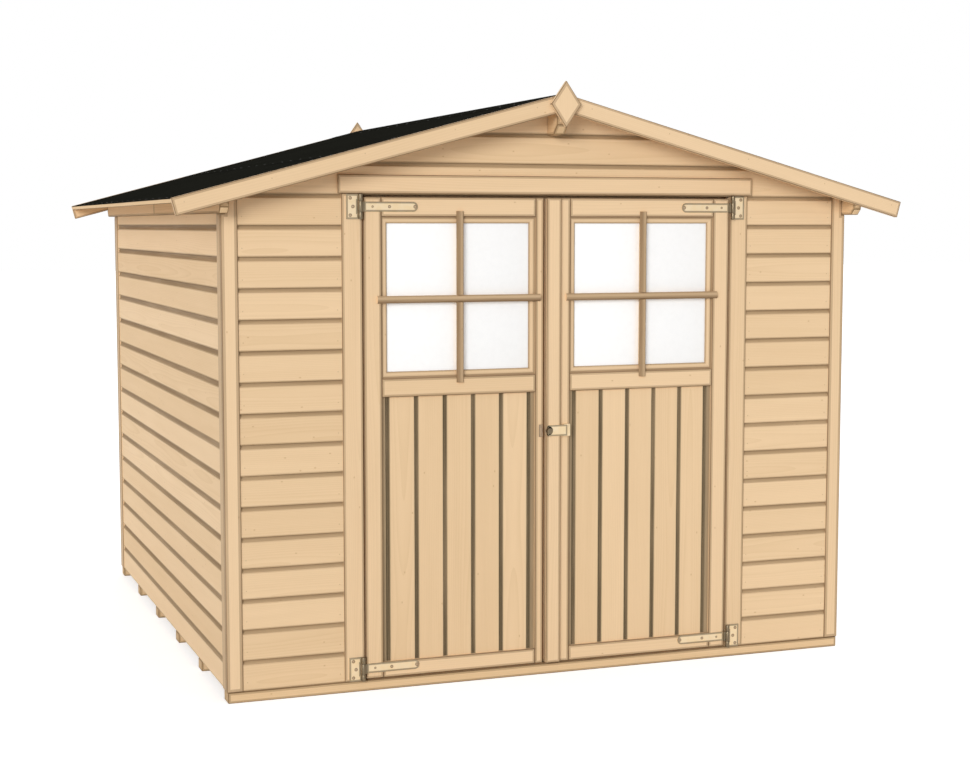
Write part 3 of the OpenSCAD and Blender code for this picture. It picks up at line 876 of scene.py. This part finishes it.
def glazing_bars(side, opening, pane):
    """A mullion and a transom that lap over the frame, with cores that reach the pane."""
    (x0, z0), (x1, z1) = opening
    name = "left" if side < 0 else "right"
    piece = Piece(f"{name}_door_glazing_bars")
    x = (x0 + x1) / 2
    z = (z0 + z1) / 2 - TRANSOM_DROP
    half, core = BAR_W / 2, BAR_CORE_W / 2
    bar(piece, Vector((x, DOOR_Y, z)), AXIS_X, AXIS_Z, x1 - x0 + 2 * TRANSOM_LAP)
    for low, high in ((z0 - BAR_LAP, z - half), (z + half, z1 + BAR_LAP)):
        bar(piece, Vector((x, DOOR_Y, (low + high) / 2)), AXIS_Z, AXIS_X, high - low)
    back = pane[0].y
    piece.add(block((x0 + BEAD_W, DOOR_Y, z - core), (x1 - BEAD_W, back, z + core)), AXIS_X)
    for low, high in ((z0 + BEAD_W, z - core), (z + core, z1 - BEAD_W)):
        piece.add(block((x - core, DOOR_Y, low), (x + core, back, high)), AXIS_Z)
    piece.finish(f"{name}_door", "trim_timber", TRIM)


def lower_panel(side):
    """Upright boards with deep grooves painted dark as shade, and painted shade on the narrow
    strips at the sides.
    """
    name = "left" if side < 0 else "right"
    low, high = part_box(f"{name}_door_panel")
    thick = high.y - low.y
    width = high.x - low.x
    whole = int(width / PITCH)
    strip = (width - whole * PITCH) / 2
    joints = [low.x + strip + i * PITCH for i in range(whole + 1)]
    edges = [low.x] + joints + [high.x]
    lap = GAP / 2
    piece = Piece(f"{name}_door_boards")
    for i, (h0, h1) in enumerate(zip(edges, edges[1:])):
        left = GROOVE_W / 2 if i else 0.0
        right = GROOVE_W / 2 if i < len(edges) - 2 else 0.0
        profile = [(0.0, h0 + left), (0.0, h0 + left + GROOVE_FADE),
                   (0.0, h1 - right - GROOVE_FADE), (0.0, h1 - right)]
        # Painted shade: the side strips are shaded, the faces fade towards the grooves, and the
        # grooves darken towards their deep
        face = 0.0 if left and right else REBATE_SHADED
        marks = [max(face, 0.35), face, max(face, 0.35)]
        if right:
            profile += [(GROOVE_D * 0.75, h1 - right * 0.8), (GROOVE_D, h1 - right * 0.6),
                        (GROOVE_D, h1 - lap)]
            marks += [0.8, 1.0, 1.0]
        profile += [(thick, h1 - lap), (thick, h0 + lap)]
        marks += [0.0, 0.0]
        if left:
            profile += [(GROOVE_D, h0 + lap), (GROOVE_D, h0 + left * 0.6),
                        (GROOVE_D * 0.75, h0 + left * 0.8)]
            marks += [0.0, 1.0, 1.0, 0.8]
        else:
            marks += [0.0]
        bm = run(profile, marks, Vector((0, low.y, low.z)), AXIS_Z, AXIS_X, AXIS_Y, high.z - low.z)
        piece.add(bm, AXIS_Z)
    piece.finish(f"{name}_door", "cladding", PANEL, f"{name}_door_panel")


def opening_of(side):
    """Corners of the glazed opening between the stiles and rails, as (x, z) pairs."""
    name = "left" if side < 0 else "right"
    low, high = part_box(f"{name}_door_beads")
    return (low.x, low.z), (high.x, high.z)


def door(side):
    """One door: frame, boards, beads, bars and pane. side is -1 for the left, 1 for the right."""
    name = "left" if side < 0 else "right"
    body = f"{name}_door"
    opening = opening_of(side)
    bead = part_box(f"{name}_door_beads")
    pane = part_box(f"{name}_door_pane")
    timber(f"{name}_door_stile_timber", f"{name}_door_stiles", "trim_timber", TRIM, body)
    timber(f"{name}_door_rail_timber", f"{name}_door_rails", "trim_timber", TRIM, body,
           along=AXIS_X)
    lower_panel(side)
    glazing_beads(side, opening, bead, pane)
    glazing_bars(side, opening, pane)
    sheet = Piece(f"{name}_door_glazing")
    for bm in solids(f"{name}_door_pane"):
        bevel(bm, METAL_ARRIS, 0.0)
        sheet.add(bm, AXIS_X)
    sheet.finish(body, "glazing", OPAL, f"{name}_door_pane")


# ---------------------------------------------------------------- metalwork

def metalwork(name, node, body, material, dark=None):
    """Plate metal with eased edges in painted shade; dark picks the faces that are dark all over.
    """
    piece = Piece(name)
    for bm in solids(node):
        bevel(bm, METAL_ARRIS, METAL_TONE, band=METAL_BAND, fade=METAL_BAND_TONE)
        if dark:
            shade(bm, METAL_TONE, dark)
        piece.add(bm, AXIS_X)
    piece.finish(body, "zinc_hardware", material, node)


def on_knuckle(face):
    """Whether a face belongs to a hinge's knuckles, which stand between plate and strap and are
    painted dark as shade.
    """
    x = abs(face.calc_center_median().x)
    return HINGE_X - KNUCKLE_REACH < x < HINGE_X + 0.5 * KNUCKLE_REACH


def on_knob(face):
    """Whether a face belongs to the knob, which stands in front of the fastener's bar."""
    return face.calc_center_median().y < LATCH_BAR_Y - METAL_ARRIS


def ring(place, outward, lift, sizes):
    """Points around a line through place, one for each distance in sizes."""
    up = AXIS_Z if abs(outward.z) < 0.9 else AXIS_Y
    right = up.cross(outward).normalized()
    points = []
    for k, size in enumerate(sizes):
        angle = 2 * math.pi * k / len(sizes)
        spoke = right * math.cos(angle) + up * math.sin(angle)
        points.append(place + spoke * size + outward * lift)
    return points


def screw(piece, place, outward, radius):
    """A countersunk screw head: a low dome in a rim painted dark as shade, with a cross recess also
    painted dark as shade.
    """
    sides = 16
    cross = [radius * (0.52 if k % 4 == 0 else 0.20) for k in range(sides)]
    rings = [ring(place, outward, radius * lift, [radius * size] * sides)
             for size, lift in ((1.0, -0.10), (1.0, 0.06), (0.86, 0.12), (0.62, 0.16))]
    rings += [ring(place, outward, radius * lift, cross) for lift in (0.16, -0.14)]
    # Painted shade on the rim and inside the cross recess
    marks = (1.0, 0.3, 0.3, 0.0, 1.0)
    piece.add(loft(rings, lambda step, side: marks[step], last=1.0), outward)


def hinge_screws():
    """Screws in the plates on the posts and in the straps on the doors."""
    plates = Piece("hinge_plate_screws")
    for bm in solids("hinge_plates"):
        low = Vector(min(v.co[i] for v in bm.verts) for i in range(3))
        high = Vector(max(v.co[i] for v in bm.verts) for i in range(3))
        bm.free()
        side = 1 if low.x > 0 else -1
        outer = high.x if side > 0 else -low.x
        z = (low.z + high.z) / 2
        for inset, dz in PLATE_SCREWS:
            place = Vector((side * (outer - inset), DOOR_Y - HINGE_T, z + dz))
            screw(plates, place, -AXIS_Y, PLATE_SCREW_R)
    plates.finish("shed", "zinc_hardware", BRONZE)
    for side, name in ((-1, "left"), (1, "right")):
        straps = Piece(f"{name}_strap_screws")
        for bm in solids(f"{name}_door_straps"):
            xs = [v.co.x * side for v in bm.verts]
            zs = [v.co.z for v in bm.verts]
            bm.free()
            tip, z = min(xs), (min(zs) + max(zs)) / 2
            for reach, radius in STRAP_SCREWS:
                screw(straps, Vector((side * (tip + reach), DOOR_Y - HINGE_T, z)), -AXIS_Y, radius)
        straps.finish(f"{name}_door", "zinc_hardware", BRONZE)


def fastener_screws():
    """Screws of the keeper's plate on the left-hand stile."""
    low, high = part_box("latch_keeper")
    keeper = Piece("latch_keeper_screws")
    for z in (low.z + KEEPER_SCREW_INSET, high.z - KEEPER_SCREW_INSET):
        screw(keeper, Vector(((low.x + high.x) / 2, low.y, z)), -AXIS_Y, KEEPER_SCREW_R)
    keeper.finish("left_door", "zinc_hardware", BRONZE)


# ---------------------------------------------------------------- nails

def nail(piece, place, outward, radius=NAIL_R):
    """A nail head that stands a fraction of its radius proud."""
    rings = [ring(place, outward, radius * lift, [radius * size] * 8)
             for size, lift in ((1.0, -0.3), (1.0, 0.12), (0.7, 0.2))]
    piece.add(loft(rings, lambda step, side: 0.0), outward)


def stud_places(node, axis):
    """Middle of each solid of a framing node along one axis, without repeats."""
    found = []
    for bm in solids(node):
        values = [v.co[axis] for v in bm.verts]
        middle = round((min(values) + max(values)) / 2, 4)
        bm.free()
        if all(abs(middle - f) > 0.05 for f in found):
            found.append(middle)
    return sorted(found)


def cladding_nails():
    """One nail in every board at every stud."""
    piece = Piece("cladding_nails")
    heights = [WALL_Z + PITCH * (i + NAIL_HEIGHT) for i in range(WALL_BOARDS)]
    for y in stud_places("side_wall_studs", 1):
        y = min(max(y, LEFT_WALL[0].y + SIDE_NAIL_INSET), LEFT_WALL[1].y - SIDE_NAIL_INSET)
        for z in heights:
            if z < LEFT_WALL[1].z - 10 * MM:
                nail(piece, Vector((LEFT_WALL[0].x, y, z)), -AXIS_X)
                nail(piece, Vector((RIGHT_WALL[1].x, y, z)), AXIS_X)
    for box in (FRONT_LEFT, FRONT_RIGHT):
        for x in (box[0].x + END_NAIL_INSET, box[1].x - END_NAIL_INSET):
            for z in heights:
                nail(piece, Vector((x, box[0].y, z)), -AXIS_Y)
    for x in stud_places("end_wall_studs", 0):
        x = min(max(x, BACK_WALL[0].x + END_NAIL_INSET), BACK_WALL[1].x - END_NAIL_INSET)
        for z in heights:
            nail(piece, Vector((x, BACK_WALL[1].y, z)), AXIS_Y)
    piece.finish("shed", "zinc_hardware", NAIL)


def barge_nails():
    """Nails in a line below the top edge of each barge board."""
    piece = Piece("barge_board_nails")
    low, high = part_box("right_barge_boards")
    down, out = slope_axes(1)
    for s in BARGE_NAILS:
        p = RIDGE + down * s - out * BARGE_NAIL_DROP
        for side in (-1, 1):
            nail(piece, Vector((side * p.x, low.y, p.z)), -AXIS_Y, BARGE_NAIL_R)
            nail(piece, Vector((side * p.x, high.y, p.z)), AXIS_Y, BARGE_NAIL_R)
    piece.finish("shed", "zinc_hardware", NAIL)


def felt_nails():
    """Clout nails along the eaves, the verges and the lap of the felt."""
    piece = Piece("felt_nails")
    y0, y1 = FELT[0].y + FELT_NAIL_INSET, FELT[1].y - FELT_NAIL_INSET
    low_lift = LOW_FELT_T - FELT_T
    for side in (-1, 1):
        down, out = slope_axes(side)
        for i in range(EAVES_NAILS + 1):
            y = y0 + (y1 - y0) * i / EAVES_NAILS
            for s, lift in ((SLOPE_LENGTH - EDGE_NAIL_INSET, low_lift),
                            (FELT_LAP - FELT_NAIL_INSET, 0.0),
                            (CAP_W - EDGE_NAIL_INSET, CAP_NAIL_LIFT)):
                nail(piece, RIDGE + down * s + out * lift + AXIS_Y * y, out, FELT_NAIL_R)
        for i in range(1, VERGE_NAILS + 1):
            s = SLOPE_LENGTH * i / (VERGE_NAILS + 1)
            lift = low_lift if s > FELT_LAP else 0.0
            for y in (y0, y1):
                nail(piece, RIDGE + down * s + out * lift + AXIS_Y * y, out, FELT_NAIL_R)
    piece.finish("shed", "zinc_hardware", BLACK_NAIL)


# ---------------------------------------------------------------- the shed

def shed():
    """Every visible piece of the shed, body by body."""
    wall_cladding()
    gable_cladding()
    # Painted shade on the bearers' sides
    timber("bearers_timber", "bearers", "framing_timber", FRAMING, dark=faces_sideways)
    timber("eaves_purlins_timber", "eaves_purlins", "framing_timber", FRAMING, split=True)
    for node in ("end_wall_studs", "end_wall_plates", "side_wall_studs", "side_wall_plates",
                 "gable_rafters", "ridge_purlin"):
        timber(f"{node}_timber", node, "framing_timber", FRAMING)
    # Painted shade on the sides of the corner trims
    timber("side_corner_trims_timber", "side_corner_trims", "trim_timber", TRIM,
           dark=faces_sideways)
    for node in ("front_corner_trims", "back_corner_trims"):
        timber(f"{node}_timber", node, "trim_timber", TRIM, band=CORNER_BAND, dark=faces_sideways,
               tone=CORNER_SHADED)
    for node in ("left_door_post", "right_door_post", "header_board", "left_barge_boards",
                 "right_barge_boards"):
        timber(f"{node}_timber", node, "trim_timber", TRIM)
    timber("finial_diamonds", "finials", "trim_timber", TRIM, band=FINIAL_BAND, along=AXIS_Z)
    floor_boards()
    for side, name in ((-1, "left"), (1, "right")):
        roof_boards(side, f"{name}_roof_boards", f"{name}_roof_deck")
    for side, name in ((-1, "left"), (1, "right")):
        roof_felt(side, f"{name}_felt_courses", f"{name}_roof_felt")
    ridge_cap()
    for side in (-1, 1):
        door(side)
    timber("meeting_strip_timber", "meeting_strip", "trim_timber", TRIM, "right_door")
    metalwork("hinge_plate_metal", "hinge_plates", "shed", ZINC, dark=on_knuckle)
    metalwork("left_strap_metal", "left_door_straps", "left_door", ZINC, dark=on_knuckle)
    metalwork("right_strap_metal", "right_door_straps", "right_door", ZINC, dark=on_knuckle)
    metalwork("latch_keeper_metal", "latch_keeper", "left_door", BRONZE)
    metalwork("latch_bar_metal", "latch_bar", "right_door", ZINC, dark=on_knob)
    hinge_screws()
    fastener_screws()
    cladding_nails()
    barge_nails()
    felt_nails()


# ---------------------------------------------------------------- stage, light and camera

AMBIENT = 0.55
FLOOR_GLOW = 0.55
# Each lamp: name, strength, then angular size, height and turn in degrees
LAMPS = (("key", 1.78, 24, 14, -40), ("fill", 1.00, 60, 35, 140))
LENS = 64.54
CAMERA_PLACE = (-2.519, -7.346, 1.720)
CAMERA_DIP = 5.34
CAMERA_TURN = -20.26


def shows_background(nodes):
    """A factor that is 1 for camera, glossy and transmission rays."""
    path = nodes.new("ShaderNodeLightPath")
    tree = path.id_data
    total = path.outputs["Is Camera Ray"]
    for name in ("Is Glossy Ray", "Is Transmission Ray"):
        node = nodes.new("ShaderNodeMath")
        node.operation = "MAXIMUM"
        tree.links.new(total, node.inputs[0])
        tree.links.new(path.outputs[name], node.inputs[1])
        total = node.outputs[0]
    return total


def floor():
    """A plain floor that keeps the shadow, and glows just enough to meet the white background."""
    bm = bmesh.new()
    bmesh.ops.create_grid(bm, x_segments=1, y_segments=1, size=60.0)
    mesh = bpy.data.meshes.new("studio_floor")
    bm.to_mesh(mesh)
    bm.free()
    plane = bpy.data.objects.new("studio_floor", mesh)
    bpy.context.scene.collection.objects.link(plane)
    material = bpy.data.materials.new("studio_floor")
    material.use_nodes = True
    nodes, links = material.node_tree.nodes, material.node_tree.links
    nodes.clear()
    diffuse = nodes.new("ShaderNodeBsdfDiffuse")
    diffuse.inputs["Color"].default_value = (0.80, 0.80, 0.80, 1)
    glow = nodes.new("ShaderNodeEmission")
    add = nodes.new("ShaderNodeAddShader")
    output = nodes.new("ShaderNodeOutputMaterial")
    scale = nodes.new("ShaderNodeMath")
    scale.operation = "MULTIPLY"
    scale.inputs[1].default_value = FLOOR_GLOW
    links.new(shows_background(nodes), scale.inputs[0])
    links.new(scale.outputs[0], glow.inputs["Strength"])
    links.new(diffuse.outputs[0], add.inputs[0])
    links.new(glow.outputs[0], add.inputs[1])
    links.new(add.outputs[0], output.inputs["Surface"])
    mesh.materials.append(material)


def light():
    """A white world, dimmer where it lights the shed, and two broad sun lamps."""
    world = bpy.data.worlds.new("studio")
    world.use_nodes = True
    bpy.context.scene.world = world
    nodes, links = world.node_tree.nodes, world.node_tree.links
    background = nodes["Background"]
    background.inputs["Color"].default_value = (1, 1, 1, 1)
    mix = nodes.new("ShaderNodeMapRange")
    mix.inputs["To Min"].default_value = AMBIENT
    mix.inputs["To Max"].default_value = 1.0
    links.new(shows_background(nodes), mix.inputs["Value"])
    links.new(mix.outputs[0], background.inputs["Strength"])
    for name, strength, angle, height, turn in LAMPS:
        sun = bpy.data.lights.new(name, "SUN")
        sun.energy = strength
        sun.angle = math.radians(angle)
        lamp = bpy.data.objects.new(name, sun)
        lamp.rotation_euler = (math.radians(90 - height), 0, math.radians(turn))
        bpy.context.scene.collection.objects.link(lamp)


def camera():
    """The photo's own viewpoint: the dip below level and the turn from +Y are in degrees."""
    data = bpy.data.cameras.new("camera")
    data.lens = LENS
    data.sensor_width = 36.0
    data.clip_end = 200.0
    view = bpy.data.objects.new("camera", data)
    view.location = CAMERA_PLACE
    view.rotation_euler = (math.radians(90 - CAMERA_DIP), 0, math.radians(CAMERA_TURN))
    bpy.context.scene.collection.objects.link(view)
    bpy.context.scene.camera = view


shed()
floor()
light()
camera()
bpy.context.scene.view_settings.view_transform = "Standard"
